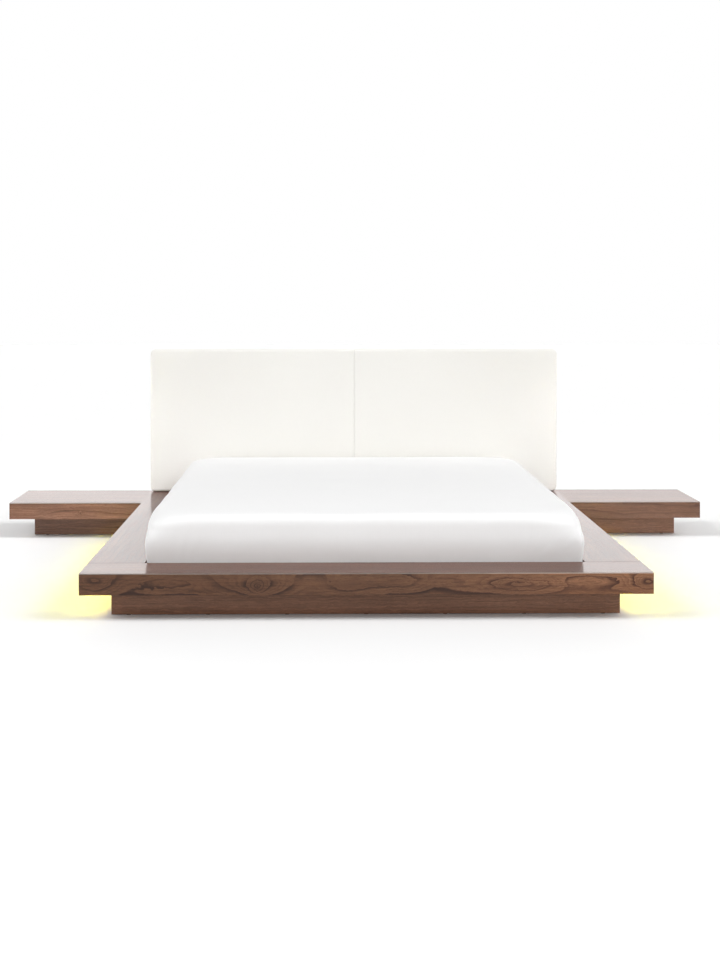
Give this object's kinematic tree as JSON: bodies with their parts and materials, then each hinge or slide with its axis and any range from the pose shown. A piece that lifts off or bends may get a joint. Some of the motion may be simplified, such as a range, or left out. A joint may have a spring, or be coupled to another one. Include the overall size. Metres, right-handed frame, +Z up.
{
  "type": "double bed",
  "caption": "Low platform bed with an overhanging wooden surround on a set-back plinth, sunk mattress, padded headboard, joined bedside tables and hidden light strips.",
  "frame": {"origin": "on the floor under the middle of the whole bed", "axes": "+X to the right seen from the foot end, +Y towards the headboard, +Z up"},
  "size_m": [3.26, 2.317, 0.876],
  "materials": {
    "walnut": "satin lacquer",
    "spruce": "planed",
    "birch": "sanded",
    "steel": "zinc plated",
    "black_plastic": "matte",
    "cream_leather": "smooth",
    "foam": "open cell",
    "dust_cloth": "felted",
    "white_cloth": "smooth weave",
    "aluminium": "anodised",
    "led_strip": "matte",
    "diffuser": "frosted"
  },
  "bodies": {
    "frame": {"foot_rail_top": "walnut", "foot_rail_fascia": "walnut", "foot_rail_end_left": "walnut", "foot_rail_end_right": "walnut", "left_rail_top": "walnut", "left_rail_fascia": "walnut", "right_rail_top": "walnut", "right_rail_fascia": "walnut", "head_rail_top": "walnut", "rear_board": "walnut", "plinth_front": "walnut", "plinth_left": "walnut", "plinth_right": "walnut", "foot_bay_board": "spruce", "left_bay_board": "spruce", "right_bay_board": "spruce", "head_bay_board": "spruce", "rail_gussets": "spruce", "plinth_glides": "black_plastic", "corner_brackets": "steel", "frame_screws": "steel", "slat_ledger_left": "spruce", "slat_ledger_right": "spruce", "centre_beam": "spruce", "beam_hangers": "steel", "centre_legs": "black_plastic", "slats_left": "birch", "slats_right": "birch", "slat_caps": "black_plastic", "headboard_cover": "cream_leather", "headboard_padding": "foam", "headboard_backing": "spruce", "headboard_back_cloth": "dust_cloth", "headboard_struts": "spruce", "strut_bolts": "steel", "left_table_top": "walnut", "left_table_front": "walnut", "left_table_side": "walnut", "left_table_back": "walnut", "left_table_plinth_front": "walnut", "left_table_plinth_side": "walnut", "left_table_inner_board": "walnut", "right_table_top": "walnut", "right_table_front": "walnut", "right_table_side": "walnut", "right_table_back": "walnut", "right_table_plinth_front": "walnut", "right_table_plinth_side": "walnut", "right_table_inner_board": "walnut", "table_bolts": "steel", "led_channels": "aluminium", "led_strips": "led_strip", "led_diffusers": "diffuser", "led_controller": "black_plastic", "dc_inlet": "black_plastic"},
    "mattress": {"mattress_cover": "white_cloth", "mattress_foam": "foam"},
    "foot_1": {"levelling_foot_1": "steel"},
    "foot_2": {"levelling_foot_2": "steel"},
    "foot_3": {"levelling_foot_3": "steel"}
  },
  "joints": [
    {"name": "mattress_lift", "type": "slide", "parent": "frame", "child": "mattress", "axis": [0, 0, 1], "range_m": [0, 0.3]},
    {"name": "foot_1_level", "type": "slide", "parent": "frame", "child": "foot_1", "axis": [0, 0, -1], "range_m": [0, 0.012]},
    {"name": "foot_2_level", "type": "slide", "parent": "frame", "child": "foot_2", "axis": [0, 0, -1], "range_m": [0, 0.012]},
    {"name": "foot_3_level", "type": "slide", "parent": "frame", "child": "foot_3", "axis": [0, 0, -1], "range_m": [0, 0.012]}
  ]
}
